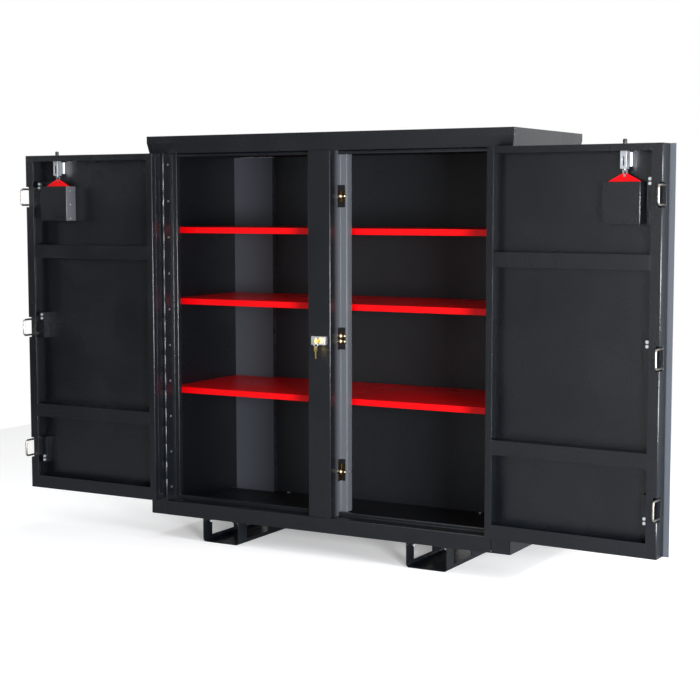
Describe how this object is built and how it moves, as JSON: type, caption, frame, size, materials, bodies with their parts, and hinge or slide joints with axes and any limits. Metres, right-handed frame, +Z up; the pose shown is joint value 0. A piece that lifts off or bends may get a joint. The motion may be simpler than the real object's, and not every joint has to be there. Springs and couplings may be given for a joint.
{
  "type": "jobsite cabinet",
  "caption": "Tall steel site tool cabinet with hinged box doors standing open, red tray shelves, a keyed centre post with lock pins, and fork skids.",
  "frame": {"origin": "centre of the floor footprint of the whole cabinet with its doors open, at floor level", "axes": "+Z up, -Y towards the person in front of the doors, +X to that person's right, along the open doors"},
  "size_m": [2.8868, 0.825, 1.676],
  "materials": {
    "body_coat": "fine-textured powder coat",
    "inner_coat": "satin powder coat",
    "shelf_red": "satin powder coat",
    "pull_red": "gloss coat",
    "zinc_plate": "bright zinc plate",
    "chrome_plate": "polished",
    "pin_brass": "polished",
    "bar_passivate": "yellow passivated zinc",
    "key_brass": "brushed"
  },
  "bodies": {
    "cabinet": {"floor_panel": "inner_coat", "back_panel": "inner_coat", "left_side_panel": "body_coat", "right_side_panel": "body_coat", "roof_lid": "body_coat", "head_rail": "inner_coat", "bottom_rail": "body_coat", "left_stile": "body_coat", "right_stile": "body_coat", "centre_post": "body_coat", "bar_guides": "zinc_plate", "frame_screws": "zinc_plate", "rear_columns": "inner_coat", "shelf_clips": "inner_coat", "left_lower_shelf": "shelf_red", "left_middle_shelf": "shelf_red", "left_upper_shelf": "shelf_red", "right_lower_shelf": "shelf_red", "right_middle_shelf": "shelf_red", "right_upper_shelf": "shelf_red", "left_skid": "body_coat", "right_skid": "body_coat", "skid_bolts": "zinc_plate", "lock_case": "chrome_plate", "frame_hinge_leaves": "body_coat", "hinge_pins": "zinc_plate"},
    "lock": {"lock_cylinder": "key_brass", "key": "key_brass"},
    "spare": {"key_ring": "zinc_plate", "spare_key": "key_brass"},
    "left_bar": {"left_bolt_bar": "bar_passivate", "left_lock_pins": "pin_brass"},
    "left_door": {"left_door_skin": "body_coat", "left_hinge_edge": "body_coat", "left_lock_edge": "body_coat", "left_end_rails": "body_coat", "left_cross_rails": "body_coat", "left_handle_cup": "body_coat", "left_bolt_housing": "zinc_plate", "left_striker_loops": "zinc_plate", "left_striker_nuts": "zinc_plate", "left_door_hinge_leaf": "body_coat"},
    "left_bolt": {"left_spring_bolt": "zinc_plate", "left_bolt_spring": "zinc_plate", "left_pull_plate": "pull_red"},
    "right_bar": {"right_bolt_bar": "bar_passivate", "right_lock_pins": "pin_brass"},
    "right_door": {"right_door_skin": "body_coat", "right_hinge_edge": "body_coat", "right_lock_edge": "body_coat", "right_end_rails": "body_coat", "right_cross_rails": "body_coat", "right_handle_cup": "body_coat", "right_bolt_housing": "zinc_plate", "right_striker_loops": "zinc_plate", "right_striker_nuts": "zinc_plate", "right_door_hinge_leaf": "body_coat"},
    "right_bolt": {"right_spring_bolt": "zinc_plate", "right_bolt_spring": "zinc_plate", "right_pull_plate": "pull_red"}
  },
  "joints": [
    {"name": "left_door_hinge", "type": "hinge", "parent": "cabinet", "child": "left_door", "pos_m": [-0.74144, -0.27548, 0.096], "axis": [0, 0, 1], "range_deg": [0, 180]},
    {"name": "right_door_hinge", "type": "hinge", "parent": "cabinet", "child": "right_door", "pos_m": [0.74256, -0.27548, 0.096], "axis": [0, 0, -1], "range_deg": [-3, 177]},
    {"name": "key_turn", "type": "hinge", "parent": "cabinet", "child": "lock", "pos_m": [0.00056, -0.26998, 0.863], "axis": [0, -1, 0], "range_deg": [0, 90]},
    {"name": "left_bar_slide", "type": "slide", "parent": "cabinet", "child": "left_bar", "axis": [1, 0, 0], "range_m": [0, 0.03]},
    {"name": "right_bar_slide", "type": "slide", "parent": "cabinet", "child": "right_bar", "axis": [-1, 0, 0], "range_m": [0, 0.03]},
    {"name": "spare_key_hang", "type": "hinge", "parent": "lock", "child": "spare", "pos_m": [0.00031, -0.29598, 0.85265], "axis": [0, -1, 0], "range_deg": [-90, 0]},
    {"name": "left_bolt_slide", "type": "slide", "parent": "left_door", "child": "left_bolt", "axis": [0, 0, -1], "range_m": [0, 0.02], "stiffness_N_per_m": 400, "springref_m": -0.03, "deforming": ["left_bolt_spring"]},
    {"name": "right_bolt_slide", "type": "slide", "parent": "right_door", "child": "right_bolt", "axis": [0, 0, -1], "range_m": [0, 0.02], "stiffness_N_per_m": 400, "springref_m": -0.03, "deforming": ["right_bolt_spring"]}
  ],
  "couplings": [
    {"joint": "key_turn", "follows": "left_bar_slide", "rad_per_m": 52.359},
    {"joint": "right_bar_slide", "follows": "left_bar_slide", "ratio": 1},
    {"joint": "spare_key_hang", "follows": "left_bar_slide", "rad_per_m": -52.359}
  ]
}
